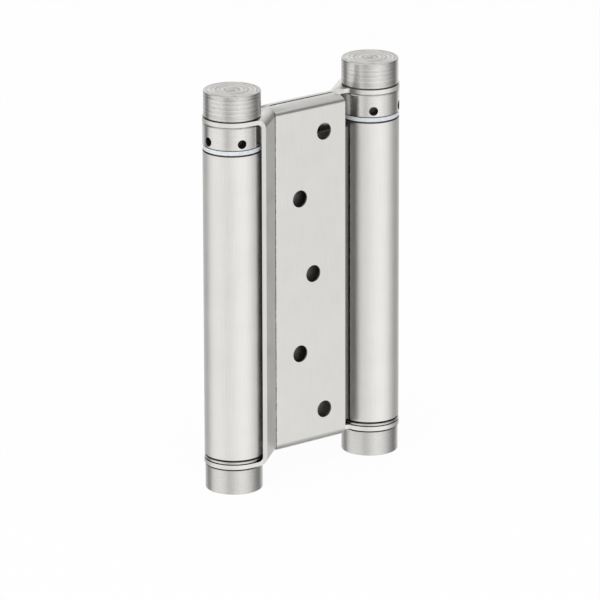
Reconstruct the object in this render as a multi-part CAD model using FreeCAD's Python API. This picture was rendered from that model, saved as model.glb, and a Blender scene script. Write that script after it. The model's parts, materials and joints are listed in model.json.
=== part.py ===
import FreeCAD, Part
import math
import os

# Double action spring hinge for a cafe door, shown closed and flat.
# Millimetres. +Z runs up the barrels, the left barrel is at -X, and the front leaf faces -Y.
# The origin is on the ground under the middle of the hinge, which stands on its bottom caps.
# One centre sheet is rolled into both spring tubes. Each leaf turns on one barrel only, and
# the back leaf is the front leaf turned half a turn about Z.

# Overall layout
axis_distance = 65.0        # between the two barrel axes
axis_offset = 1.6           # each axis stands this far out of the mid-plane, towards its own leaf
leaf_height = 130.6         # over the outside of both ears
cap_height = 9.7

# Pressed leaf
leaf_thickness = 1.6
face_offset = 4.8           # mid-plane to the outside of the leaf
face_to_crease = 15.6       # hinge middle to the crease of the oblique wing
face_to_free_edge = 16.2    # hinge middle to the free edge
leaf_gap = 1.0              # between the flanges of the two leaves
ear_overhang = 0.1          # beyond the tube
wing_clearance = 0.9        # between the wing's inside and the collar
wing_reach = 3.5            # how far the wing runs on past its nearest point to the axis
bend_radius = 1.5           # inside radius of the top and bottom bends
bend_clearance = 0.05       # between the bends' inside and the bevelled edges next to them
crease_radius = 0.3         # hollow side of the crease
free_corner_radius = 3.0

# Screw holes: three on the outer line, two on the inner line, countersunk from the inside
screw_hole_radius = 3.2
screw_land = 0.6            # straight part of the hole, next to the outside face
outer_screw_x = 6.5
outer_screw_spacing = 106.0
inner_screw_x = -4.5
inner_screw_spacing = 59.0
middle_screw_x = 1.5

# Centre sheet and its rolled tubes
sheet_thickness = 1.6
tube_radius = 10.7
lead_angle = 80.0           # how far the sheet bends back before it joins the roll
seam_gap = 0.4              # between the end of the roll and the bend
top_relief = 1.5            # the flat sheet stops this far under the tubes' tops
foot_relief = 0.8           # and this far above their feet

# Stack on each barrel
play = 0.1                  # end clearance between pieces that turn on one another
foot_play = 0.5             # between a tube's foot and the washer on the lower ear
foot_washer_thickness = 1.3
collar_washer_thickness = 2.3
collar_height = 8.4
washer_set_back = 0.1       # inside the tube's outline

# Spindle, caps and their seats
spindle_radius = 3.0
spindle_bevel = 0.5
running_clearance = 0.05
fixed_clearance = 0.02
spindle_seat_depth = 6.5    # how far the spindle goes into each cap
cap_set_back = 0.3          # inside the tube's outline
cap_edge = 0.3
cap_bevel = 0.5             # round the top face
cap_disc_radius = 4.8       # raised disc in the middle of the top face
cap_disc_rise = 0.2

# Tension collar
collar_overhang = 0.05      # beyond the tube
skirt_length = 9.0          # below the collar's underside, into the tube
skirt_clearance = 0.25
bar_hole_radius = 1.65
bar_hole_depth = 4.5
bar_hole_drop = 2.0         # holes sit below the collar's mid-height
bar_hole_count = 5
left_bar_hole_angle = 35.5      # first hole, measured from +X towards the front
right_bar_hole_angle = 48.6

# Plug and torsion spring inside each tube
plug_height = 12.0
wire_size = 2.6             # square wire
coil_wall_gap = 1.5         # between the coil and the tube's wall
coil_gap = 2.6              # between neighbouring turns
coil_play = 0.5             # between the spring's ends and what they stand on
tang_depth = 5.0
tang_clearance = 0.15
facets_per_turn = 10

# How far a cutting shape runs on past the surface it opens
overshoot = 1.0

# Levels that follow from the stack
ear_low = cap_height
ear_low_top = ear_low + leaf_thickness
ear_high = cap_height + leaf_height
ear_high_under = ear_high - leaf_thickness
tube_low = ear_low_top + foot_washer_thickness + foot_play
collar_high = ear_high_under - play
collar_low = collar_high - collar_height
tube_high = collar_low - play - collar_washer_thickness
mid_height = cap_height + leaf_height / 2

# Places that follow from the layout
axis_x = axis_distance / 2
tube_inner_radius = tube_radius - sheet_thickness
ear_radius = tube_radius + ear_overhang
collar_radius = tube_radius + collar_overhang
washer_radius = tube_radius - washer_set_back
cap_radius = tube_radius - cap_set_back
coil_radius = tube_inner_radius - coil_wall_gap - wire_size / 2
wing_inside = collar_radius + wing_clearance
wing_distance = wing_inside + leaf_thickness
collar_bevel = bend_radius + bend_clearance - (wing_inside - collar_radius)
washer_bevel = bend_radius + bend_clearance - (wing_inside - washer_radius)

up = FreeCAD.Vector(0, 0, 1)


def point(x, front, z=0.0):
    """A point given by its distance towards the front, which is -Y."""
    return FreeCAD.Vector(x, -front, z)


def polar(centre, radius, degrees):
    """A point round a centre; the angle runs from +X towards the front."""
    angle = math.radians(degrees)
    return centre + point(radius * math.cos(angle), radius * math.sin(angle))


def line(start, end):
    return Part.LineSegment(start, end).toShape()


def arc(centre, radius, start_degrees, end_degrees):
    middle = (start_degrees + end_degrees) / 2
    ends = [polar(centre, radius, angle) for angle in (start_degrees, middle, end_degrees)]
    return Part.Arc(*ends).toShape()


def prism(edges, low, high):
    """The closed outline of the given edges, raised from one level to another."""
    face = Part.Face(Part.Wire(Part.sortEdges(edges)[0]))
    face.translate(up * low)
    return face.extrude(up * (high - low))


def turned(profile):
    """A solid of revolution about Z from (radius, z) corners."""
    corners = [FreeCAD.Vector(radius, 0, z) for radius, z in profile]
    face = Part.Face(Part.makePolygon(corners + corners[:1]))
    return face.revolve(FreeCAD.Vector(0, 0, 0), up, 360)


def turned_half(shape):
    """The same piece for the other side of the hinge."""
    copy = shape.copy()
    copy.rotate(FreeCAD.Vector(0, 0, 0), up, 180)
    return copy


left_axis = point(-axis_x, axis_offset)
right_axis = point(axis_x, -axis_offset)


def wing_angle():
    """Angle between the face and the wing that clears the collar of its own barrel."""
    across = axis_x - face_to_crease
    forward = face_offset - axis_offset
    lean = math.asin(wing_distance / math.hypot(across, forward))
    return math.degrees(lean - math.atan2(forward, across))


def leaf_front_edges(inset):
    """Face, crease and wing in plan, each set back from the outside by the inset.

    Returns the edges from the free edge to the wing's end, and the wing's end point.
    """
    slope = wing_angle()
    front = face_offset - inset
    crease_span = crease_radius * math.tan(math.radians(slope / 2))
    crease_centre = point(-face_to_crease + crease_span, face_offset + crease_radius)
    crease_start = polar(crease_centre, crease_radius + inset, -90)
    crease_end = polar(crease_centre, crease_radius + inset, -90 - slope)
    wing_foot = polar(left_axis, wing_distance - inset, 90 - slope)
    wing_end = polar(wing_foot, wing_reach, 180 - slope)
    free_end = point(face_to_free_edge, front)
    edges = [
        line(free_end, crease_start),
        arc(crease_centre, crease_radius + inset, -90, -90 - slope),
        line(crease_end, wing_end),
    ]
    return edges, free_end, wing_end


def leaf_outline():
    """Plan of the whole leaf: face, wing, and the ear that goes round the left axis.

    The ear's front edge leaves its round part in a tangent to the wing's inside corner.
    """
    edges, free_end, wing_end = leaf_front_edges(0)
    inside_end = leaf_front_edges(leaf_thickness)[2]
    inside_distance = math.hypot(wing_inside, wing_reach)
    inside_degrees = 90 - wing_angle() + math.degrees(math.asin(wing_reach / inside_distance))
    tangent_degrees = inside_degrees + math.degrees(math.acos(ear_radius / inside_distance))
    back = leaf_gap / 2
    root_degrees = -math.degrees(math.asin((axis_offset - back) / ear_radius))
    ear_start = polar(left_axis, ear_radius, tangent_degrees)
    ear_root = polar(left_axis, ear_radius, root_degrees)
    back_corner = point(face_to_free_edge, back)
    edges.append(line(wing_end, inside_end))
    edges.append(line(inside_end, ear_start))
    edges.append(arc(left_axis, ear_radius, tangent_degrees, 360 + root_degrees))
    edges.append(line(ear_root, back_corner))
    edges.append(line(back_corner, free_end))
    return edges


def leaf_hollow_outline():
    """Plan of the space inside the leaf, open past the free edge, the back and the ear."""
    edges, free_end, wing_end = leaf_front_edges(leaf_thickness)
    beyond = 2 * ear_radius
    far_wing = polar(wing_end, beyond, 180 - wing_angle())
    past_free = point(face_to_free_edge + beyond, face_offset - leaf_thickness)
    low_right = point(face_to_free_edge + beyond, -beyond)
    low_left = point(-axis_x - 2 * beyond, -beyond)
    high_left = FreeCAD.Vector(low_left.x, far_wing.y, 0)
    corners = [wing_end, far_wing, high_left, low_left, low_right, past_free, free_end]
    edges += [line(a, b) for a, b in zip(corners, corners[1:])]
    return edges


def bend_edges(solid, inset):
    """The top and bottom edges along the face, the crease and the wing."""
    found = []
    samples = []
    for edge in leaf_front_edges(inset)[0]:
        span = edge.LastParameter - edge.FirstParameter
        samples.append(edge.valueAt(edge.FirstParameter + span / 2))
    for edge in solid.Edges:
        box = edge.BoundBox
        if box.ZLength > 0.01:
            continue
        for sample in samples:
            probe = Part.Vertex(sample.x, sample.y, box.ZMin)
            if edge.distToShape(probe)[0] < 0.001:
                found.append(edge)
                break
    return found


def screw_hole(x, z):
    """One hole through the face, with its countersink opening towards the inside."""
    depth = leaf_thickness - screw_land
    inside_radius = screw_hole_radius + depth
    start = point(x, face_offset + overshoot, z)
    back = FreeCAD.Vector(0, 1, 0)
    shank = Part.makeCylinder(screw_hole_radius, leaf_thickness + 2 * overshoot, start, back)
    cone_start = point(x, face_offset - screw_land, z)
    cone = Part.makeCone(screw_hole_radius, inside_radius, depth, cone_start, back)
    return shank.fuse(cone)


def screw_places():
    places = [(middle_screw_x, mid_height)]
    for side in (-1, 1):
        places.append((outer_screw_x, mid_height + side * outer_screw_spacing / 2))
        places.append((inner_screw_x, mid_height + side * inner_screw_spacing / 2))
    return places


def free_corner(z, side):
    """What rounds off the free edge's corner at the top (side 1) or the bottom (side -1)."""
    centre_x = face_to_free_edge - free_corner_radius
    centre_z = z - side * free_corner_radius
    size = free_corner_radius + overshoot
    depth = face_offset + 2 * overshoot
    low_z = centre_z if side > 0 else centre_z - size
    block = Part.makeBox(size, depth, size, point(centre_x, face_offset + overshoot, low_z))
    front = point(centre_x, face_offset + 2 * overshoot, centre_z)
    back = FreeCAD.Vector(0, 1, 0)
    rounding = Part.makeCylinder(free_corner_radius, depth + 2 * overshoot, front, back)
    return block.cut(rounding)


def make_leaf():
    """One pressed sheet: face, wing, two flanges and two ears."""
    outside = prism(leaf_outline(), ear_low, ear_high)
    outside = outside.makeFillet(bend_radius + leaf_thickness, bend_edges(outside, 0))
    hollow = prism(leaf_hollow_outline(), ear_low_top, ear_high_under)
    hollow = hollow.makeFillet(bend_radius, bend_edges(hollow, leaf_thickness))
    leaf = outside.cut(hollow)
    hole_start = left_axis + up * (ear_low - overshoot)
    spindle_hole = Part.makeCylinder(
        spindle_radius + fixed_clearance, leaf_height + 2 * overshoot, hole_start)
    cutters = [spindle_hole, free_corner(ear_high, 1), free_corner(ear_low, -1)]
    cutters += [screw_hole(x, z) for x, z in screw_places()]
    return leaf.cut(cutters)


def lead_radius():
    """Centre-line radius of the bend that carries the sheet into the roll."""
    roll = tube_radius - sheet_thickness / 2
    lead = math.radians(lead_angle)
    return (axis_offset + roll * math.cos(lead)) / (1 - math.cos(lead))


def seam_angle():
    """Angle round the tube between the start of the roll and its free end."""
    roll = tube_radius - sheet_thickness / 2
    span = roll + lead_radius()
    reach = lead_radius() + sheet_thickness / 2 + seam_gap
    cosine = (tube_radius ** 2 + span ** 2 - reach ** 2) / (2 * tube_radius * span)
    return math.degrees(math.acos(cosine))


def half_sheet_edges():
    """Right half of the centre sheet in plan, from the middle through the roll and back."""
    half = sheet_thickness / 2
    roll = tube_radius - half
    lead = lead_radius()
    bend_x = axis_x - (roll + lead) * math.sin(math.radians(lead_angle))
    bend_centre = point(bend_x, -lead)
    bend_end = 90 - lead_angle
    roll_start = 180 + bend_end
    roll_end = roll_start + 360 - seam_angle()
    front_start = point(0, half)
    back_start = point(0, -half)
    return [
        line(front_start, point(bend_x, half)),
        arc(bend_centre, lead + half, 90, bend_end),
        arc(right_axis, roll - half, roll_start, roll_end),
        line(polar(right_axis, roll - half, roll_end), polar(right_axis, roll + half, roll_end)),
        arc(right_axis, roll + half, roll_end, roll_start),
        arc(bend_centre, lead - half, bend_end, 90),
        line(point(bend_x, -half), back_start),
    ]


def make_centre_plate():
    """One sheet with a tube rolled at each side, S-shaped in plan."""
    right_half = half_sheet_edges()
    left_half = [turned_half(edge) for edge in right_half]
    sheet = prism(right_half + left_half, tube_low, tube_high).removeSplitter()
    reach = axis_x - tube_radius
    corner = FreeCAD.Vector(-reach, -tube_radius, 0)
    relief = [
        Part.makeBox(2 * reach, 2 * tube_radius, top_relief, corner + up * (tube_high - top_relief)),
        Part.makeBox(2 * reach, 2 * tube_radius, foot_relief, corner + up * tube_low),
    ]
    return sheet.cut(relief)


def make_foot_washer():
    bore = spindle_radius + running_clearance
    high = ear_low_top + foot_washer_thickness
    return turned([
        (bore, ear_low_top),
        (washer_radius - washer_bevel, ear_low_top),
        (washer_radius, ear_low_top + washer_bevel),
        (washer_radius, high),
        (bore, high),
    ])


def make_collar_washer():
    inner = tube_inner_radius - skirt_clearance + running_clearance
    high = tube_high + collar_washer_thickness
    return turned([
        (inner, tube_high),
        (washer_radius, tube_high),
        (washer_radius, high),
        (inner, high),
    ])


def make_top_cap():
    """Turned cap with a raised disc on its top face and a blind seat for the spindle."""
    top = ear_high + cap_height
    face = top - cap_disc_rise
    seat = spindle_radius + fixed_clearance
    return turned([
        (0, top),
        (cap_disc_radius, top),
        (cap_disc_radius + cap_disc_rise, face),
        (cap_radius - cap_bevel, face),
        (cap_radius, face - cap_bevel),
        (cap_radius, ear_high),
        (seat, ear_high),
        (seat, ear_high + spindle_seat_depth),
        (0, ear_high + spindle_seat_depth),
    ])


def make_bottom_cap():
    """Turned cap with a flat foot and the top cap's seat."""
    seat = spindle_radius + fixed_clearance
    return turned([
        (0, 0),
        (cap_radius - cap_edge, 0),
        (cap_radius, cap_edge),
        (cap_radius, ear_low),
        (seat, ear_low),
        (seat, ear_low - spindle_seat_depth),
        (0, ear_low - spindle_seat_depth),
    ])


def make_spindle():
    """Ground rod from one cap's seat to the other, with bevelled ends."""
    low = ear_low - spindle_seat_depth
    high = ear_high + spindle_seat_depth
    return turned([
        (0, low),
        (spindle_radius - spindle_bevel, low),
        (spindle_radius, low + spindle_bevel),
        (spindle_radius, high - spindle_bevel),
        (spindle_radius - spindle_bevel, high),
        (0, high),
    ])


def tang_hole(z, degrees):
    """Blind seat for one straight end of the spring, from its mouth at z upwards."""
    foot = polar(up * z, coil_radius, degrees)
    radius = wire_size / math.sqrt(2) + tang_clearance
    return Part.makeCylinder(radius, tang_depth + tang_clearance, foot)


def make_collar(first_degrees):
    """Turned collar with a skirt inside the tube, and radial holes for a tommy bar."""
    bore = spindle_radius + running_clearance
    skirt_radius = tube_inner_radius - skirt_clearance
    skirt_low = collar_low - skirt_length
    body = turned([
        (bore, skirt_low),
        (skirt_radius, skirt_low),
        (skirt_radius, collar_low),
        (collar_radius, collar_low),
        (collar_radius, collar_high - collar_bevel),
        (collar_radius - collar_bevel, collar_high),
        (bore, collar_high),
    ])
    level = (collar_low + collar_high) / 2 - bar_hole_drop
    cutters = [tang_hole(skirt_low, 0)]
    for k in range(bar_hole_count):
        degrees = first_degrees + k * 360 / bar_hole_count
        start = polar(up * level, collar_radius + overshoot, degrees)
        inward = polar(FreeCAD.Vector(0, 0, 0), -1, degrees)
        cutters.append(
            Part.makeCylinder(bar_hole_radius, bar_hole_depth + overshoot, start, inward))
    return body.cut(cutters)


def make_plug():
    """Turned plug fixed in the tube's foot; it guides the spindle and anchors the spring."""
    bore = spindle_radius + running_clearance
    outer = tube_inner_radius - fixed_clearance
    high = tube_low + plug_height
    body = turned([(bore, tube_low), (outer, tube_low), (outer, high), (bore, high)])
    return body.cut(tang_hole(high - tang_depth - tang_clearance, 0))


def make_spring():
    """Torsion spring of square wire with a straight tang at each end, in plug and skirt."""
    low = tube_low + plug_height + coil_play + wire_size / 2
    high = collar_low - skirt_length - coil_play - wire_size / 2
    turns = round((high - low) / (wire_size + coil_gap))
    steps = turns * facets_per_turn
    corners = []
    for k in range(steps + 1):
        level = up * (low + (high - low) * k / steps)
        corners.append(polar(level, coil_radius, 360 * k / facets_per_turn))
    corners.insert(0, corners[0] - up * (coil_play + wire_size / 2 + tang_depth))
    corners.append(corners[-1] + up * (coil_play + wire_size / 2 + tang_depth))
    path = Part.makePolygon(corners)
    half = wire_size / 2
    square = [(-half, -half), (half, -half), (half, half), (-half, half), (-half, -half)]
    section = Part.makePolygon([corners[0] + point(x, y) for x, y in square])
    sweep = Part.BRepOffsetAPI.MakePipeShell(path)
    sweep.setTransitionMode(1)
    sweep.add(section)
    sweep.build()
    sweep.makeSolid()
    return sweep.shape()


def at_axis(shape, axis):
    placed = shape.copy()
    placed.translate(axis)
    return placed


def export(name, shape):
    shape.exportStep("parts/" + name + ".step")
    print(name, "solids", len(shape.Solids), "valid", shape.isValid(), "volume", round(shape.Volume, 1))


os.makedirs("parts", exist_ok=True)

front_leaf = make_leaf()
export("front_leaf", front_leaf)
export("back_leaf", turned_half(front_leaf))
export("centre_plate", make_centre_plate())

per_barrel = {
    "top_cap": make_top_cap(),
    "bottom_cap": make_bottom_cap(),
    "spindle": make_spindle(),
    "collar_washer": make_collar_washer(),
    "foot_washer": make_foot_washer(),
    "bottom_plug": make_plug(),
    "spring": make_spring(),
}
for side_name, axis in (("left", left_axis), ("right", right_axis)):
    for piece_name, piece in per_barrel.items():
        export(side_name + "_" + piece_name, at_axis(piece, axis))

export("left_tension_collar", at_axis(make_collar(left_bar_hole_angle), left_axis))
export("right_tension_collar", at_axis(make_collar(right_bar_hole_angle), right_axis))
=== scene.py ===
import json
import math

import bmesh
import bpy
from mathutils import Matrix, Vector


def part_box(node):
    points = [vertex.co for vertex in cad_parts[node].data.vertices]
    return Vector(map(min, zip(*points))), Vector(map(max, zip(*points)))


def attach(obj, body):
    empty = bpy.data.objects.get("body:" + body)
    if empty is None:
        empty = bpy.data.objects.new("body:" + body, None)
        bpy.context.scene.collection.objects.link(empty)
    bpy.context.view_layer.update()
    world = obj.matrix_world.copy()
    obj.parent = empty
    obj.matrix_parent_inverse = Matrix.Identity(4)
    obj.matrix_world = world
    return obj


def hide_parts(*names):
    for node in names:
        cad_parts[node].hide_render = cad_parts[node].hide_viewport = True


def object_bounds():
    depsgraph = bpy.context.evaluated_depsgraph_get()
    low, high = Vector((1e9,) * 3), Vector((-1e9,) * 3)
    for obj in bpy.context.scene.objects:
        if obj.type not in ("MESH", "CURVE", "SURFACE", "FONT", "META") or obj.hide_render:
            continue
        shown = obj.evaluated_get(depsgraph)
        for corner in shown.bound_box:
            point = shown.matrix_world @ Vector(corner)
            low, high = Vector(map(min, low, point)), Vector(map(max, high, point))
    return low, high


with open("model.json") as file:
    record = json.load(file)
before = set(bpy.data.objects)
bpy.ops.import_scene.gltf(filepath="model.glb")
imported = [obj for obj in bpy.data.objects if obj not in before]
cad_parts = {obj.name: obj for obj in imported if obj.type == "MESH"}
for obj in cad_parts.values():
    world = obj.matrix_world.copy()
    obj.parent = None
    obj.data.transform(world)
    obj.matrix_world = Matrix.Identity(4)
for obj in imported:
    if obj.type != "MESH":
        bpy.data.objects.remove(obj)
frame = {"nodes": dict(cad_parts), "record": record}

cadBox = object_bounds()
scene = bpy.context.scene
mm = 0.001

# The hinge stands closed on its two bottom caps: +Z runs up the barrels, -Y is the front leaf's face
sides = ("left", "right")
leafBody = {"left": "front_leaf", "right": "back_leaf"}
collarBody = {"left": "left_collar", "right": "right_collar"}


def hexColour(text):
    # The linear colour of an sRGB hex value
    channels = [int(text[i:i + 2], 16) / 255 for i in (1, 3, 5)]
    linear = [c / 12.92 if c <= 0.04045 else ((c + 0.055) / 1.055) ** 2.4 for c in channels]
    return (*linear, 1.0)


def fillRamp(ramp, stops):
    ramp.elements[0].position = stops[0][0]
    ramp.elements[1].position = stops[-1][0]
    for place, colour in stops[1:-1]:
        ramp.elements.new(place)
    for element, (place, colour) in zip(ramp.elements, stops):
        element.color = colour


def addNode(tree, kind, settings=None, links=None):
    node = tree.nodes.new(kind)
    for name, value in (settings or {}).items():
        if name == "stops":
            fillRamp(node.color_ramp, value)
        elif isinstance(name, int) or name in node.inputs:
            node.inputs[name].default_value = value
        else:
            setattr(node, name, value)
    for name, source in (links or {}).items():
        tree.links.new(source, node.inputs[name])
    return node


def newMaterial(name):
    material = bpy.data.materials.new(name)
    material.use_nodes = True
    tree = material.node_tree
    tree.nodes.clear()
    output = addNode(tree, "ShaderNodeOutputMaterial")
    return material, tree, output


def darkToPale(tree, pattern, look):
    # One noise drives both the colour, from dark to pale over the look's spread, and the roughness
    low, high = look["spread"]
    smooth, rough = look["roughness"]
    stops = [(low, hexColour(look["dark"])), (high, hexColour(look["pale"]))]
    colour = addNode(tree, "ShaderNodeValToRGB", {"stops": stops}, {"Fac": pattern}).outputs["Color"]
    roughness = addNode(tree, "ShaderNodeMapRange", {"To Min": smooth, "To Max": rough}, {"Value": pattern})
    return colour, roughness.outputs["Result"]


def distanceTo(tree, source, place):
    gap = addNode(tree, "ShaderNodeMath", {"operation": "SUBTRACT", 1: place}, {0: source}).outputs["Value"]
    return addNode(tree, "ShaderNodeMath", {"operation": "ABSOLUTE"}, {0: gap}).outputs["Value"]


satinSheetLook = {
    "dark": "#D9D8D5",
    "pale": "#E7E6E3",
    "spread": (0.3, 0.7),
    "roughness": (0.26, 0.36),
    "anisotropy": 0.9,
    "grainWidth": 0.16,      # mm across the grain, coarser than the real 0.05 so that it shows
    "grainLength": 14.0,     # mm along it
    "grainDepth": 0.0016,    # mm
    "cloudSize": 9.0,        # mm, slow drift of the belt's pressure
    "cloudShare": 0.3,
    "creasePlace": 15.72,    # mm each side of the middle
    "creaseWidth": 0.55,     # mm, the width of the shade painted into the crease
    "creaseReach": 4.35,     # mm in front of the middle, where it runs out in the top and bottom bends
    "creaseRagged": 900.0,   # per metre, the steps of its ragged edge
    "creaseFade": (0.7, 1.3),
    "creasePaintedShade": "#403F3D",
}


def creasePaintedShadeMask(tree, place, look):
    # 1 in the hollow of the crease between face and wing, which lies forward of the flanges, 0 elsewhere; it
    # carries painted shade
    part = addNode(tree, "ShaderNodeSeparateXYZ", links={"Vector": place}).outputs
    side = addNode(tree, "ShaderNodeMath", {"operation": "SIGN"}, {0: part["Y"]}).outputs["Value"]
    across = addNode(tree, "ShaderNodeMath", {"operation": "MULTIPLY"},
                     {0: part["X"], 1: side}).outputs["Value"]
    away = distanceTo(tree, across, look["creasePlace"] * mm)
    ragged = addNode(tree, "ShaderNodeTexNoise", {"Scale": look["creaseRagged"], "Detail": 3.0},
                     {"Vector": place}).outputs["Fac"]
    reach = addNode(tree, "ShaderNodeMath", {"operation": "MULTIPLY", 1: look["creaseWidth"] * mm},
                    {0: ragged}).outputs["Value"]
    inside = addNode(tree, "ShaderNodeMath", {"operation": "DIVIDE"}, {0: away, 1: reach}).outputs["Value"]
    near, far = look["creaseFade"]
    line = addNode(tree, "ShaderNodeMapRange",
                   {"From Min": near, "From Max": far, "To Min": 1.0, "To Max": 0.0},
                   {"Value": inside}).outputs["Result"]
    depth = addNode(tree, "ShaderNodeMath", {"operation": "ABSOLUTE"}, {0: part["Y"]}).outputs["Value"]
    ahead = addNode(tree, "ShaderNodeMath", {"operation": "GREATER_THAN", 1: look["creaseReach"] * mm},
                    {0: depth}).outputs["Value"]
    return addNode(tree, "ShaderNodeMath", {"operation": "MULTIPLY"}, {0: line, 1: ahead}).outputs["Value"]


def satinSheet():
    # Austenitic stainless sheet, linished along its height: pale, slightly warm, streaked by the belt, and
    # with shade painted dark into the hollow of the crease
    look = satinSheetLook
    material, tree, output = newMaterial("linishedStainlessSheet")
    place = addNode(tree, "ShaderNodeTexCoord").outputs["Object"]
    across = 1 / (look["grainWidth"] * mm)
    along = 1 / (look["grainLength"] * mm)
    stretched = addNode(tree, "ShaderNodeMapping", {"Scale": (across, across, along)}, {"Vector": place})
    grain = addNode(tree, "ShaderNodeTexNoise", {"Scale": 1.0, "Detail": 4.0, "Roughness": 0.6},
                    {"Vector": stretched.outputs["Vector"]}).outputs["Fac"]
    cloud = addNode(tree, "ShaderNodeTexNoise", {"Scale": 1 / (look["cloudSize"] * mm), "Detail": 2.0},
                    {"Vector": place}).outputs["Fac"]
    mixed = addNode(tree, "ShaderNodeMix", {"Factor": look["cloudShare"]},
                    {"A": grain, "B": cloud}).outputs["Result"]
    colour, roughness = darkToPale(tree, mixed, look)
    # painted shade: the crease's hollow is drawn dark
    crease = creasePaintedShadeMask(tree, place, look)
    creaseShaded = addNode(tree, "ShaderNodeMix", {"data_type": "RGBA", 7: hexColour(look["creasePaintedShade"])},
                     {"Factor": crease, 6: colour}).outputs[2]
    bump = addNode(tree, "ShaderNodeBump", {"Strength": 0.6, "Distance": look["grainDepth"] * mm},
                   {"Height": grain}).outputs["Normal"]
    shader = addNode(tree, "ShaderNodeBsdfPrincipled",
                     {"Metallic": 1.0, "Anisotropic": look["anisotropy"]},
                     {"Base Color": creaseShaded, "Roughness": roughness, "Normal": bump})
    tree.links.new(shader.outputs["BSDF"], output.inputs["Surface"])
    return material


unlinishedAndShadeLook = {
    "dark": "#858481",
    "pale": "#9A9996",
    "spread": (0.35, 0.65),
    "roughness": (0.42, 0.55),
    "mottle": 0.7,           # mm
    "depth": 0.003,          # mm
}


def unlinishedFinishAndShade():
    # The same sheet as it left the rolls, where the belt can't reach between the leaves: grey, dull,
    # mottled, and drawn darker as painted shade in the gap between the leaves
    look = unlinishedAndShadeLook
    material, tree, output = newMaterial("unlinishedSheetAndPaintedShade")
    place = addNode(tree, "ShaderNodeTexCoord").outputs["Object"]
    mottle = addNode(tree, "ShaderNodeTexNoise", {"Scale": 1 / (look["mottle"] * mm), "Detail": 5.0},
                     {"Vector": place}).outputs["Fac"]
    colour, roughness = darkToPale(tree, mottle, look)
    bump = addNode(tree, "ShaderNodeBump", {"Strength": 0.4, "Distance": look["depth"] * mm},
                   {"Height": mottle}).outputs["Normal"]
    shader = addNode(tree, "ShaderNodeBsdfPrincipled", {"Metallic": 1.0},
                     {"Base Color": colour, "Roughness": roughness, "Normal": bump})
    tree.links.new(shader.outputs["BSDF"], output.inputs["Surface"])
    return material


# Steel from the lathe. In mm: feed is the step between rings, speck the height of a torn speck, speckLength
# its length, depth the relief. The real feed is near 0.1, drawn coarser here so that it shows
turnedSpread = (0.34, 0.66)

# Stainless bar: bright, with rings on the top, and broken rows of specks round the side
turnedCapLook = {
    "dark": "#BFBDBA", "pale": "#EBEAE7", "spread": turnedSpread, "roughness": (0.28, 0.38),
    "anisotropy": 0.65,
    "feed": 0.35, "speck": 0.22, "speckLength": 0.7, "speckShare": 0.55, "depth": 0.0018,
    # The tool's single passes, partly ring tone and partly painted shade that darkens the top: their width
    # and breaks in mm, and how much of them shows round the side
    "passWidth": 1.6, "passBreak": 4.5, "passToneAndShade": "#C3C2C0", "passSide": 0.3,
    "passFade": (0.46, 0.58), "passPressure": (0.38, 0.6), "passLeast": 0.2,
}
# The same bar with a finer cut: brighter and smoother
turnedCollarLook = {
    "dark": "#CDCBC8", "pale": "#E9E8E5", "spread": turnedSpread, "roughness": (0.24, 0.33),
    "anisotropy": 0.75,
    "feed": 0.3, "speck": 0.3, "speckLength": 0.6, "speckShare": 0.6, "depth": 0.0016,
}
# Tumbled after turning: the rings are gone, and the grey is even and matt
mattCapLook = {
    "dark": "#C6C5C2", "pale": "#E6E5E2", "spread": turnedSpread, "roughness": (0.34, 0.45),
    "anisotropy": 0.5,
    "feed": 0.3, "speck": 0.3, "speckLength": 0.35, "speckShare": 0.85, "depth": 0.003,
}
# Blanked from stainless strip: a smooth, slightly darker rim
footWasherLook = {
    "dark": "#BEBDBA", "pale": "#DDDCDA", "spread": turnedSpread, "roughness": (0.25, 0.35),
    "anisotropy": 0.2,
    "feed": 0.2, "speck": 0.3, "speckLength": 0.4, "speckShare": 0.6, "depth": 0.002,
}
# Ground steel rod: smooth and nearly a mirror
spindleLook = {
    "dark": "#A9A9AB", "pale": "#C4C4C6", "spread": turnedSpread, "roughness": (0.15, 0.22),
    "anisotropy": 0.3,
    "feed": 0.1, "speck": 0.2, "speckLength": 0.3, "speckShare": 0.2, "depth": 0.001,
}
# Mild steel left as it was turned: darker and greyer than stainless
plugLook = {
    "dark": "#7C7C7E", "pale": "#98989A", "spread": turnedSpread, "roughness": (0.32, 0.45),
    "anisotropy": 0.3,
    "feed": 0.2, "speck": 0.3, "speckLength": 0.5, "speckShare": 0.3, "depth": 0.004,
}
# Oil-tempered wire: a nearly black skin
springWireLook = {
    "dark": "#35353A", "pale": "#4A4A50", "spread": turnedSpread, "roughness": (0.35, 0.5),
    "anisotropy": 0.0,
    "feed": 0.6, "speck": 0.5, "speckLength": 0.6, "speckShare": 0.8, "depth": 0.003,
}
# What the drill leaves, dull, with shade painted dark into it; also painted shade in narrow grooves and on
# cut ends
drilledAndShadeLook = {
    "dark": "#605E5B", "pale": "#83817E", "spread": turnedSpread, "roughness": (0.4, 0.55),
    "anisotropy": 0.0,
    "feed": 0.3, "speck": 0.3, "speckLength": 0.3, "speckShare": 0.6, "depth": 0.003,
}


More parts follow.
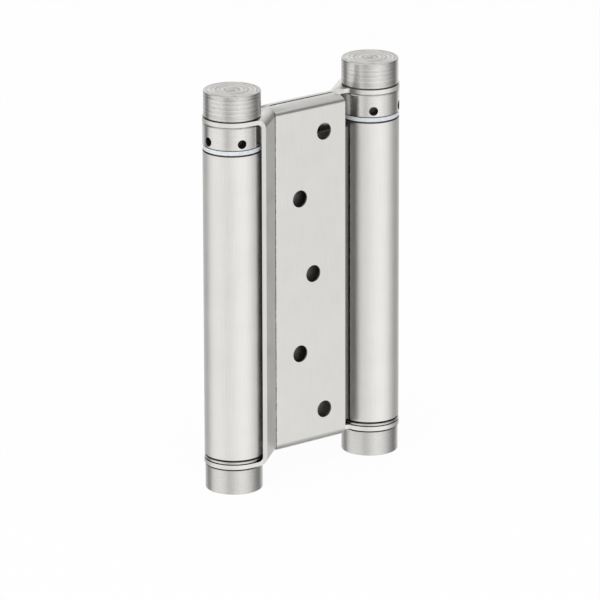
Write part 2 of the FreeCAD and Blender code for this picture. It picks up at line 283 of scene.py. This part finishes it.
def toolPassesAndTopShade(tree, place, travel, colour, look):
    # Wider rings of a darker tone and painted shade, strongest on faces that look up, fainter on the side,
    # broken where the tool pressed less
    rings = addNode(tree, "ShaderNodeTexNoise",
                    {"noise_dimensions": "1D", "Scale": 1 / (look["passWidth"] * mm), "Detail": 1.0},
                    {"W": travel}).outputs["Fac"]
    pale, dark = look["passFade"]
    darker = addNode(tree, "ShaderNodeMapRange", {"From Min": pale, "From Max": dark},
                     {"Value": rings}).outputs["Result"]
    pressure = addNode(tree, "ShaderNodeTexNoise", {"Scale": 1 / (look["passBreak"] * mm), "Detail": 1.0},
                       {"Vector": place}).outputs["Fac"]
    light, firm = look["passPressure"]
    share = addNode(tree, "ShaderNodeMapRange",
                    {"From Min": light, "From Max": firm, "To Min": look["passLeast"]},
                    {"Value": pressure}).outputs["Result"]
    broken = addNode(tree, "ShaderNodeMath", {"operation": "MULTIPLY"},
                     {0: darker, 1: share}).outputs["Value"]
    # painted shade: faces that look up get more of the darker rings than the side
    normal = addNode(tree, "ShaderNodeTexCoord").outputs["Normal"]
    upward = addNode(tree, "ShaderNodeSeparateXYZ", links={"Vector": normal}).outputs["Z"]
    shown = addNode(tree, "ShaderNodeMapRange", {"To Min": look["passSide"]},
                    {"Value": upward}).outputs["Result"]
    mask = addNode(tree, "ShaderNodeMath", {"operation": "MULTIPLY"}, {0: broken, 1: shown}).outputs["Value"]
    return addNode(tree, "ShaderNodeMix",
                   {"data_type": "RGBA", "blend_type": "MULTIPLY", 7: hexColour(look["passToneAndShade"])},
                   {"Factor": mask, 6: colour}).outputs[2]


def turnedSteel(name, look):
    # Bar faced and turned in a lathe: fine rings on the faces and round the sides, with specks
    # that the tool tore out, drawn out along its path
    material, tree, output = newMaterial(name)
    place = addNode(tree, "ShaderNodeTexCoord").outputs["Object"]
    flat = addNode(tree, "ShaderNodeVectorMath", {"operation": "MULTIPLY", 1: (1, 1, 0)}, {0: place})
    radius = addNode(tree, "ShaderNodeVectorMath", {"operation": "LENGTH"},
                     {0: flat.outputs["Vector"]}).outputs["Value"]
    height = addNode(tree, "ShaderNodeSeparateXYZ", links={"Vector": place}).outputs["Z"]
    travel = addNode(tree, "ShaderNodeMath", {"operation": "ADD"}, {0: radius, 1: height}).outputs["Value"]
    rings = addNode(tree, "ShaderNodeTexNoise",
                    {"noise_dimensions": "1D", "Scale": 1 / (look["feed"] * mm), "Detail": 2.0},
                    {"W": travel}).outputs["Fac"]
    drawn = 1 / (look["speckLength"] * mm)
    squeezed = addNode(tree, "ShaderNodeMapping", {"Scale": (drawn, drawn, 1 / (look["speck"] * mm))},
                       {"Vector": place}).outputs["Vector"]
    speck = addNode(tree, "ShaderNodeTexNoise", {"Scale": 1.0, "Detail": 4.0, "Roughness": 0.65},
                    {"Vector": squeezed}).outputs["Fac"]
    mixed = addNode(tree, "ShaderNodeMix", {"Factor": look["speckShare"]},
                    {"A": rings, "B": speck}).outputs["Result"]
    colour, roughness = darkToPale(tree, mixed, look)
    if "passWidth" in look:
        colour = toolPassesAndTopShade(tree, place, travel, colour, look)
    bump = addNode(tree, "ShaderNodeBump", {"Strength": 0.5, "Distance": look["depth"] * mm},
                   {"Height": mixed}).outputs["Normal"]
    tangent = addNode(tree, "ShaderNodeTangent", {"direction_type": "RADIAL", "axis": "Z"})
    shader = addNode(tree, "ShaderNodeBsdfPrincipled",
                     {"Metallic": 1.0, "Anisotropic": look["anisotropy"], "Anisotropic Rotation": 0.25},
                     {"Base Color": colour, "Roughness": roughness, "Normal": bump,
                      "Tangent": tangent.outputs["Tangent"]})
    tree.links.new(shader.outputs["BSDF"], output.inputs["Surface"])
    return material


nylonLook = {
    "dark": "#DFE4EA",
    "pale": "#EDF0F3",
    "spread": (0.3, 0.7),
    "roughness": (0.36, 0.46),
    "mottle": 2.5,           # mm
    "depth": 0.004,          # mm
    "milk": 0.12,            # share of the light that goes in and spreads
    "milkDepth": 0.8,        # mm
}


def whiteNylon():
    # Turned natural nylon: milky, slightly blue, with a soft sheen
    look = nylonLook
    material, tree, output = newMaterial("naturalNylon")
    place = addNode(tree, "ShaderNodeTexCoord").outputs["Object"]
    mottle = addNode(tree, "ShaderNodeTexNoise", {"Scale": 1 / (look["mottle"] * mm), "Detail": 3.0},
                     {"Vector": place}).outputs["Fac"]
    colour, roughness = darkToPale(tree, mottle, look)
    bump = addNode(tree, "ShaderNodeBump", {"Strength": 0.3, "Distance": look["depth"] * mm},
                   {"Height": mottle}).outputs["Normal"]
    shader = addNode(tree, "ShaderNodeBsdfPrincipled",
                     {"IOR": 1.53, "Subsurface Weight": look["milk"],
                      "Subsurface Scale": look["milkDepth"] * mm},
                     {"Base Color": colour, "Roughness": roughness, "Normal": bump})
    tree.links.new(shader.outputs["BSDF"], output.inputs["Surface"])
    return material


materials = {
    "satin_sheet": satinSheet(),
    "turned_cap": turnedSteel("turnedStainlessCap", turnedCapLook),
    "turned_collar": turnedSteel("turnedStainlessCollar", turnedCollarLook),
    "matt_cap": turnedSteel("tumbledStainlessCap", mattCapLook),
    "white_nylon": whiteNylon(),
    "foot_washer_steel": turnedSteel("blankedStainlessWasher", footWasherLook),
    "ground_spindle": turnedSteel("groundSteelSpindle", spindleLook),
    "plain_plug": turnedSteel("turnedMildSteelPlug", plugLook),
    "spring_wire": turnedSteel("oilTemperedSpringWire", springWireLook),
}
# these two finishes carry painted shade as well as their own surface
webFinishAndShade = unlinishedFinishAndShade()
drilledFinishAndShade = turnedSteel("drilledHolesAndPaintedShade", drilledAndShadeLook)
slotOf = {entry["node"]: entry["material_slot"] for entry in frame["record"]["subparts"]}
print("materials", len(materials))


def seat(piece, node, body):
    # The piece stands for its node, rides its body and takes the finish of its slot
    piece.data.materials.clear()
    piece.data.materials.append(materials[slotOf[node]])
    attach(piece, body)
    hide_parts(node)


def newPiece(name, mesh, place=(0, 0, 0)):
    piece = bpy.data.objects.new(name, mesh)
    piece.location = place
    scene.collection.objects.link(piece)
    return piece


def sizeOf(node):
    # Radius and height in mm, and the middle of the foot in m
    low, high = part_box(node)
    foot = Vector(((low.x + high.x) / 2, (low.y + high.y) / 2, low.z))
    return (high.x - low.x) / 2 / mm, (high.z - low.z) / mm, foot


def smoothed(piece, sharpDegrees=32):
    mesh = piece.data
    for polygon in mesh.polygons:
        polygon.use_smooth = True
    mesh.set_sharp_from_angle(angle=math.radians(sharpDegrees))
    weighted = piece.modifiers.new("evenFaces", "WEIGHTED_NORMAL")
    weighted.keep_sharp = True
    weighted.weight = 90


# Turned pieces: a profile of (radius, height, rounding) corners in mm, spun about the barrel's axis
def roundedProfile(corners, arcSteps=4):
    points = []
    last = len(corners) - 1
    for k, (radius, height, rounding) in enumerate(corners):
        here = Vector((radius, height))
        if rounding <= 0 or k in (0, last):
            points.append(here)
            continue
        before = (Vector(corners[k - 1][:2]) - here).normalized()
        after = (Vector(corners[k + 1][:2]) - here).normalized()
        half = before.angle(after) / 2
        reach = rounding / math.tan(half)
        centre = here + (before + after).normalized() * rounding / math.sin(half)
        start = here + before * reach - centre
        sweep = start.angle_signed(here + after * reach - centre)
        for step in range(arcSteps + 1):
            spun = Matrix.Rotation(-sweep * step / arcSteps, 2) @ start
            points.append(centre + spun)
    return points


def turnedMesh(name, corners, segments=160):
    bm = bmesh.new()
    rows = []
    for radius, height in roundedProfile(corners):
        if radius < 1e-6:
            rows.append([bm.verts.new((0, 0, height * mm))])
            continue
        row = []
        for k in range(segments):
            angle = 2 * math.pi * k / segments
            across = (radius * mm * math.cos(angle), radius * mm * math.sin(angle))
            row.append(bm.verts.new((*across, height * mm)))
        rows.append(row)
    closed = len(rows[0]) > 1 and len(rows[-1]) > 1
    pairs = list(zip(rows, rows[1:])) + ([(rows[-1], rows[0])] if closed else [])
    for lower, upper in pairs:
        for k in range(segments):
            j = (k + 1) % segments
            if len(lower) == 1:
                bm.faces.new((lower[0], upper[k], upper[j]))
            elif len(upper) == 1:
                bm.faces.new((lower[k], upper[0], lower[j]))
            else:
                bm.faces.new((lower[k], upper[k], upper[j], lower[j]))
    bmesh.ops.recalc_face_normals(bm, faces=bm.faces)
    mesh = bpy.data.meshes.new(name)
    bm.to_mesh(mesh)
    bm.free()
    return mesh


seamShade = {
    "inset": 0.1,            # mm in from the side before a groove counts as dark
    "innerShare": 0.5,       # of the radius, where the groove's faces end
    "margin": 0.01,          # mm
}


def paintSeamShade(piece, radius, height, lowerSeam=None, upperSeam=None):
    # Shade painted dark into the narrow grooves above and below a turned piece
    piece.data.materials.append(drilledFinishAndShade)
    for polygon in piece.data.polygons:
        away = math.hypot(polygon.center.x, polygon.center.y) / mm
        level = polygon.center.z / mm
        low = lowerSeam is not None and level < lowerSeam + seamShade["margin"]
        high = upperSeam is not None and level > height - upperSeam - seamShade["margin"]
        if (low or high) and radius * seamShade["innerShare"] < away < radius - seamShade["inset"]:
            polygon.material_index = 1


topCap = {                   # mm
    "edge": 0.36,
    "seam": 0.42,            # the groove under the cap
    "seamDepth": 0.9,
    "seamEdge": 0.1,
    "seatRadius": 3.02,      # round the spindle
    "pipRadius": 0.45,       # what the facing tool leaves in the middle
    "pipRise": 0.07,
    "rings": (9.4, 7.3, 4.9, 1.3),
    "ringDepth": 0.09,
    "ringWidth": 0.5,
    "bandHeights": (3.4, 8.3),    # grooves round the left cap's side
    "bandDepth": 0.08,
    "bandWidth": 0.3,
}


def topCapCorners(radius, height, banded):
    cap = topCap
    seamRadius = radius - cap["seamDepth"]
    corners = [
        (cap["seatRadius"], 0, 0),
        (seamRadius, 0, 0),
        (seamRadius, cap["seam"], 0),
        (radius, cap["seam"], cap["seamEdge"]),
    ]
    if banded:
        bandHalf = cap["bandWidth"] / 2
        for band in cap["bandHeights"]:
            corners += [(radius, band - bandHalf, 0), (radius - cap["bandDepth"], band, 0),
                        (radius, band + bandHalf, 0)]
    face = height - cap["pipRise"]
    corners.append((radius, face, cap["edge"]))
    ringHalf = cap["ringWidth"] / 2
    for ring in cap["rings"]:
        corners += [(ring + ringHalf, face, 0), (ring, face - cap["ringDepth"], 0),
                    (ring - ringHalf, face, 0)]
    corners += [(cap["pipRadius"], face, 0), (cap["pipRadius"] / 2, height, 0), (0, height, 0)]
    return corners


def makeTopCap(side):
    node = side + "_top_cap"
    name = side + "TopCap"
    radius, height, foot = sizeOf(node)
    piece = newPiece(name, turnedMesh(name, topCapCorners(radius, height, side == "left")), foot)
    smoothed(piece)
    seat(piece, node, leafBody[side])
    paintSeamShade(piece, radius, height, lowerSeam=topCap["seam"])


bottomCap = {                # mm
    "edge": 0.18,
    "upperEdge": 0.2,
    "seam": 0.6,             # the groove over the cap
    "seamDepth": 0.9,
    "seatRadius": 3.02,
    "seatDepth": 6.5,
}


def makeBottomCap(side):
    node = side + "_bottom_cap"
    name = side + "BottomCap"
    radius, height, foot = sizeOf(node)
    cap = bottomCap
    seamRadius = radius - cap["seamDepth"]
    corners = [
        (0, 0, 0),
        (radius, 0, cap["edge"]),
        (radius, height - cap["seam"], cap["upperEdge"]),
        (seamRadius, height - cap["seam"], 0),
        (seamRadius, height, 0),
        (cap["seatRadius"], height, 0),
        (cap["seatRadius"], height - cap["seatDepth"], 0),
        (0, height - cap["seatDepth"], 0),
    ]
    piece = newPiece(name, turnedMesh(name, corners), foot)
    smoothed(piece)
    seat(piece, node, leafBody[side])
    paintSeamShade(piece, radius, height, upperSeam=cap["seam"])


washers = {                  # mm
    "collar_washer": {"inner": 8.9, "edge": 0.25, "seam": 0.5, "upperSeam": 0.25, "seamDepth": 0.8},
    "foot_washer": {"inner": 3.05, "edge": 0.2, "seam": 0.3, "upperSeam": 0.15, "seamDepth": 0.8},
}


def makeWasher(side, kind):
    node = side + "_" + kind
    name = side + kind.title().replace("_", "")
    radius, height, foot = sizeOf(node)
    washer = washers[kind]
    seamRadius = radius - washer["seamDepth"]
    corners = [
        (washer["inner"], 0, 0),
        (seamRadius, 0, 0),
        (seamRadius, washer["seam"], 0),
        (radius, washer["seam"], washer["edge"] / 2),
        (radius, height - washer["upperSeam"], washer["edge"]),
        (seamRadius, height - washer["upperSeam"], 0),
        (seamRadius, height, 0),
        (washer["inner"], height, 0),
    ]
    piece = newPiece(name, turnedMesh(name, corners), foot)
    smoothed(piece)
    seat(piece, node, "centre")
    paintSeamShade(piece, radius, height, lowerSeam=washer["seam"], upperSeam=washer["upperSeam"])


# Sheet metal and bored pieces keep the frame's own form and get their real, slightly rolled edges
frameMesh = {
    "weld": 0.0005,          # mm, corners nearer than this are one
    "flat": 0.5,             # degrees, faces nearer than this are one
    "sharp": 40,             # degrees, edges sharper than this are rolled
}
leafEdges = {
    "edge": 0.45,            # mm
    "steps": 3,
    "innerCorner": 2.5,      # mm, the ears' rounding where the strip meets the eye
    "innerSteps": 6,
    "innerAngle": 30,        # degrees, the least bend of such a corner
    "innerLength": 2,        # mm, the longest edge that can be one, a little over the sheet's thickness
    "innerLean": 0.01,       # mm, how far that edge may lean
}


def fillInnerCorners(bm, settings):
    # The ears are blanked with a round inner corner
    corners = []
    for edge in bm.edges:
        along = edge.verts[1].co - edge.verts[0].co
        upright = math.hypot(along.x, along.y) < settings["innerLean"] * mm
        if not upright or along.length >= settings["innerLength"] * mm:
            continue
        if not edge.is_manifold or edge.is_convex:
            continue
        if edge.calc_face_angle() > math.radians(settings["innerAngle"]):
            corners.append(edge)
    bmesh.ops.bevel(bm, geom=corners, offset=settings["innerCorner"] * mm, segments=settings["innerSteps"],
                    profile=0.5, affect="EDGES")


def softened(node, name, body, settings, centre=(0, 0, 0)):
    mesh = frame["nodes"][node].data.copy()
    mesh.name = name
    bm = bmesh.new()
    bm.from_mesh(mesh)
    bmesh.ops.remove_doubles(bm, verts=bm.verts, dist=frameMesh["weld"] * mm)
    bmesh.ops.dissolve_limit(bm, angle_limit=math.radians(frameMesh["flat"]), verts=bm.verts, edges=bm.edges)
    if "innerCorner" in settings:
        fillInnerCorners(bm, settings)
    bm.to_mesh(mesh)
    bm.free()
    mesh.transform(Matrix.Translation(-Vector(centre)))
    piece = newPiece(name, mesh, centre)
    for polygon in mesh.polygons:
        polygon.use_smooth = True
    bevel = piece.modifiers.new("rolledEdge", "BEVEL")
    bevel.width = settings["edge"] * mm
    bevel.segments = settings["steps"]
    bevel.limit_method = "ANGLE"
    bevel.angle_limit = math.radians(frameMesh["sharp"])
    bevel.material = settings.get("edgeFinish", -1)
    weighted = piece.modifiers.new("evenFaces", "WEIGHTED_NORMAL")
    weighted.weight = 100
    seat(piece, node, body)
    return piece


plateEdges = {
    "edge": 0.15,            # mm
    "steps": 2,
    "edgeFinish": 2,         # the third of the sheet's finishes, the dark one, painted shade on the cut ends
    "webStart": 0.3,         # mm outside the tubes
    "endFacing": 0.9,        # how squarely a face looks up or down to be a cut end
}


def dullWeb(piece):
    # What isn't rolled into a tube keeps its mill finish, drawn darker as painted shade between the leaves,
    # and its cut ends get painted shade
    piece.data.materials.append(webFinishAndShade)
    piece.data.materials.append(drilledFinishAndShade)
    axes = []
    for side in sides:
        low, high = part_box(side + "_bottom_cap")
        axes.append((low + high) / 2)
    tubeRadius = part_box("centre_plate")[1].x - axes[1].x
    for polygon in piece.data.polygons:
        away = min(math.hypot(polygon.center.x - axis.x, polygon.center.y - axis.y) for axis in axes)
        if away > tubeRadius + plateEdges["webStart"] * mm:
            polygon.material_index = 2 if abs(polygon.normal.z) > plateEdges["endFacing"] else 1


collarEdges = {
    "edge": 0.14,            # mm
    "steps": 2,
    "holeInside": 0.12,      # mm in from the side, where the drilled finish starts
    "holeFloor": 5.5,        # mm from the axis
    "holeLevel": 11.2,       # mm above the collar's foot
    "holeReach": 1.9,        # mm up and down from there
    "sideFacing": 0.995,     # how squarely a facet looks outwards to be part of the side
    "sideDepth": 0.03,       # mm its corners may lie inside the true round
}


def paintHoleShade(piece, radius):
    # The bar holes take the dull drilled finish, drawn dark as painted shade in the recess
    piece.data.materials.append(drilledFinishAndShade)
    inside = radius - collarEdges["holeInside"]
    for polygon in piece.data.polygons:
        away = math.hypot(polygon.center.x, polygon.center.y) / mm
        level = polygon.center.z / mm
        inHole = abs(level - collarEdges["holeLevel"]) < collarEdges["holeReach"]
        if collarEdges["holeFloor"] < away < inside and inHole:
            polygon.material_index = 1


def roundSide(piece, radius):
    # The turned side is shaded as the true round that its facets stand for
    evaluated = piece.evaluated_get(bpy.context.evaluated_depsgraph_get())
    mesh = bpy.data.meshes.new_from_object(evaluated)
    piece.modifiers.clear()
    piece.data = mesh
    normals = [Vector(normal.vector) for normal in mesh.corner_normals]
    for polygon in mesh.polygons:
        outward = Vector((polygon.center.x, polygon.center.y, 0)).normalized()
        if outward.dot(polygon.normal) < collarEdges["sideFacing"]:
            continue
        for corner in polygon.loop_indices:
            place = mesh.vertices[mesh.loops[corner].vertex_index].co
            if math.hypot(place.x, place.y) > (radius - collarEdges["sideDepth"]) * mm:
                normals[corner] = Vector((place.x, place.y, 0)).normalized()
    mesh.normals_split_custom_set(normals)


def makeCollar(side):
    node = side + "_tension_collar"
    radius, _, foot = sizeOf(node)
    piece = softened(node, side + "TensionCollar", collarBody[side], collarEdges, foot)
    paintHoleShade(piece, radius)
    roundSide(piece, radius)


softened("front_leaf", "frontLeaf", "front_leaf", leafEdges)
softened("back_leaf", "backLeaf", "back_leaf", leafEdges)
dullWeb(softened("centre_plate", "centrePlate", "centre", plateEdges))
for side in sides:
    makeTopCap(side)
    makeBottomCap(side)
    makeWasher(side, "collar_washer")
    makeWasher(side, "foot_washer")
    makeCollar(side)
print("pieces built")

# The hidden pieces keep their solids
for node, solid in frame["nodes"].items():
    solid.data.materials.clear()
    solid.data.materials.append(materials[slotOf[node]])


studio = {
    "floor": "#F2F2F2",
    "floorSize": 6.0,        # m
    "floorGlow": 0.95,       # share of plain white that the camera sees there
    # What the metal sees: boxes, flags and open white, as brightness by degrees from the hinge's front face.
    # Some stand, some lie and some hang. Levels are sines of the angle above the horizon, -1 to 1
    "standing": {
        -180: 0.45, -166: 0.12, -147: 0.1, -132: 0.5, -117: 1.05, -82: 1.05, -57: 0.4, -37: 0.8, -7: 1.1,
        6: 1.05, 20: 0.35, 32: 0.05, 73: 0.05, 88: 0.1, 113: 0.6, 143: 1.0, 172: 0.7, 180: 0.45,
    },
    "raised": {
        -180: 0.45, -166: 0.12, -147: 0.1, -132: 0.5, -117: 1.05, -82: 1.05, -57: 0.4, -37: 0.8, -7: 1.1,
        13: 1.0, 46: 0.9, 60: 0.2, 88: 0.1, 113: 0.6, 143: 1.0, 172: 0.7, 180: 0.45,
    },
    "lying": {
        -180: 0.8, -170: 0.5, -162: 0.25, -149: 0.25, -140: 0.9, -130: 1.15, -77: 1.1, -57: 0.85, -37: 1.05,
        -7: 1.24, 29: 1.22, 40: 1.0, 50: 0.74, 61: 0.48, 76: 0.27, 92: 0.3, 104: 0.86, 120: 1.03, 143: 0.92,
        180: 0.8,
    },
    "lyingLevel": -0.34,     # the middle of the band that what lies there takes up
    "lyingFade": (0.15, 0.24),
    "standingLevel": -0.09,  # the middle of the wider band of what stands
    "standingFade": (0.34, 0.54),
    "overhead": 0.85,        # brightness straight above
    "overheadFade": (0.55, 0.85),
}


def makeFloor():
    half = studio["floorSize"] / 2
    mesh = bpy.data.meshes.new("floor")
    corners = [(-half, -half, 0), (half, -half, 0), (half, half, 0), (-half, half, 0)]
    mesh.from_pydata(corners, [], [(0, 1, 2, 3)])
    floor = newPiece("floor", mesh)
    floor.visible_glossy = False     # metal sees the cards and flags that lie there instead
    material, tree, output = newMaterial("paleFloor")
    diffuse = addNode(tree, "ShaderNodeBsdfDiffuse", {"Color": hexColour(studio["floor"])})
    glow = addNode(tree, "ShaderNodeEmission", {"Color": (1, 1, 1, 1), "Strength": 1.0})
    seen = addNode(tree, "ShaderNodeLightPath").outputs["Is Camera Ray"]
    share = addNode(tree, "ShaderNodeMath", {"operation": "MULTIPLY", 1: studio["floorGlow"]}, {0: seen})
    mixed = addNode(tree, "ShaderNodeMixShader", None,
                    {0: share.outputs["Value"], 1: diffuse.outputs["BSDF"], 2: glow.outputs["Emission"]})
    tree.links.new(mixed.outputs["Shader"], output.inputs["Surface"])
    mesh.materials.append(material)


def cardsAround(tree, heading, brightness):
    # Grey by the way one looks from the hinge, blended between the angles given
    stops = []
    for angle, grey in sorted(brightness.items()):
        stops.append(((angle + 180) / 360, (grey, grey, grey, 1.0)))
    return addNode(tree, "ShaderNodeValToRGB", {"stops": stops}, {"Fac": heading}).outputs["Color"]


def crossfade(tree, distance, fade, inner, outer):
    # The inner cards up to the first distance, the outer ones from the second on
    start, end = fade
    share = addNode(tree, "ShaderNodeMapRange", {"From Min": start, "From Max": end}, {"Value": distance})
    return addNode(tree, "ShaderNodeMix", {"data_type": "RGBA"},
                   {"Factor": share.outputs["Result"], 6: inner, 7: outer}).outputs[2]


def makeWorld():
    world = bpy.data.worlds.new("studio")
    scene.world = world
    world.use_nodes = True
    tree = world.node_tree
    tree.nodes.clear()
    output = addNode(tree, "ShaderNodeOutputWorld")
    place = addNode(tree, "ShaderNodeTexCoord").outputs["Generated"]
    part = addNode(tree, "ShaderNodeSeparateXYZ", links={"Vector": place}).outputs
    front = addNode(tree, "ShaderNodeMath", {"operation": "MULTIPLY", 1: -1.0},
                    {0: part["Y"]}).outputs["Value"]
    angle = addNode(tree, "ShaderNodeMath", {"operation": "ARCTAN2"},
                    {0: part["X"], 1: front}).outputs["Value"]
    heading = addNode(tree, "ShaderNodeMapRange", {"From Min": -math.pi, "From Max": math.pi},
                      {"Value": angle}).outputs["Result"]
    standing = cardsAround(tree, heading, studio["standing"])
    lying = cardsAround(tree, heading, studio["lying"])
    raised = cardsAround(tree, heading, studio["raised"])
    fromLying = distanceTo(tree, part["Z"], studio["lyingLevel"])
    fromStanding = distanceTo(tree, part["Z"], studio["standingLevel"])
    nearby = crossfade(tree, fromLying, studio["lyingFade"], lying, standing)
    around = crossfade(tree, fromStanding, studio["standingFade"], nearby, raised)
    start, end = studio["overheadFade"]
    risen = addNode(tree, "ShaderNodeMapRange", {"From Min": start, "From Max": end}, {"Value": part["Z"]})
    overhead = (studio["overhead"],) * 3 + (1.0,)
    whole = addNode(tree, "ShaderNodeMix", {"data_type": "RGBA", 7: overhead},
                    {"Factor": risen.outputs["Result"], 6: around}).outputs[2]
    room = addNode(tree, "ShaderNodeBackground", {"Strength": 1.0}, {"Color": whole})
    white = addNode(tree, "ShaderNodeBackground", {"Color": (1, 1, 1, 1), "Strength": 1.0})
    seen = addNode(tree, "ShaderNodeLightPath").outputs["Is Camera Ray"]
    mixed = addNode(tree, "ShaderNodeMixShader", None,
                    {0: seen, 1: room.outputs["Background"], 2: white.outputs["Background"]})
    tree.links.new(mixed.outputs["Shader"], output.inputs["Surface"])


def towards(azimuthDegrees, elevationDegrees):
    azimuth, elevation = math.radians(azimuthDegrees), math.radians(elevationDegrees)
    level = math.cos(elevation)
    return Vector((math.sin(azimuth) * level, -math.cos(azimuth) * level, math.sin(elevation)))


view = {
    "azimuth": -37.43,       # degrees
    "elevation": 17.84,      # degrees
    "distance": 2300.0,      # mm
    "focalPixels": 6326.0,
    "shiftRight": 1.97,      # px, the whole image
    "shiftDown": -28.83,     # px
    "roll": -0.135,          # degrees
    "frame": 600.0,          # px
}
target = Vector((0, 0, (cadBox[0][2] + cadBox[1][2]) / 2))


def makeCamera():
    back = towards(view["azimuth"], view["elevation"])
    right = (-back).cross(Vector((0, 0, 1))).normalized()
    up = right.cross(-back)
    roll = math.radians(view["roll"])
    tiltedRight = math.cos(roll) * right + math.sin(roll) * up
    tiltedUp = math.cos(roll) * up - math.sin(roll) * right
    lens = bpy.data.cameras.new("camera")
    lens.sensor_width = 36.0
    lens.lens = view["focalPixels"] / view["frame"] * lens.sensor_width
    lens.shift_x = -view["shiftRight"] / view["frame"]
    lens.shift_y = view["shiftDown"] / view["frame"]
    lens.clip_end = 20.0
    camera = bpy.data.objects.new("camera", lens)
    facing = Matrix((tiltedRight, tiltedUp, back)).transposed().to_4x4()
    camera.matrix_world = Matrix.Translation(target + back * view["distance"] * mm) @ facing
    scene.collection.objects.link(camera)
    scene.camera = camera


softbox = {
    "azimuth": -50,          # degrees
    "elevation": 62,         # degrees
    "distance": 1.3,         # m
    "size": 0.7,             # m
    "power": 5.0,            # W
}


def makeSoftbox():
    lamp = bpy.data.lights.new("softboxKey", "AREA")
    lamp.shape = "RECTANGLE"
    lamp.size = lamp.size_y = softbox["size"]
    lamp.energy = softbox["power"]
    back = towards(softbox["azimuth"], softbox["elevation"])
    holder = bpy.data.objects.new("softboxKey", lamp)
    holder.location = target + back * softbox["distance"]
    holder.rotation_euler = back.to_track_quat("Z", "Y").to_euler()
    holder.visible_glossy = False    # metal sees the studio's cards, not the lamp's own small square
    scene.collection.objects.link(holder)


makeFloor()
makeWorld()
makeSoftbox()
makeCamera()
scene.view_settings.view_transform = "Standard"
print("stage set")
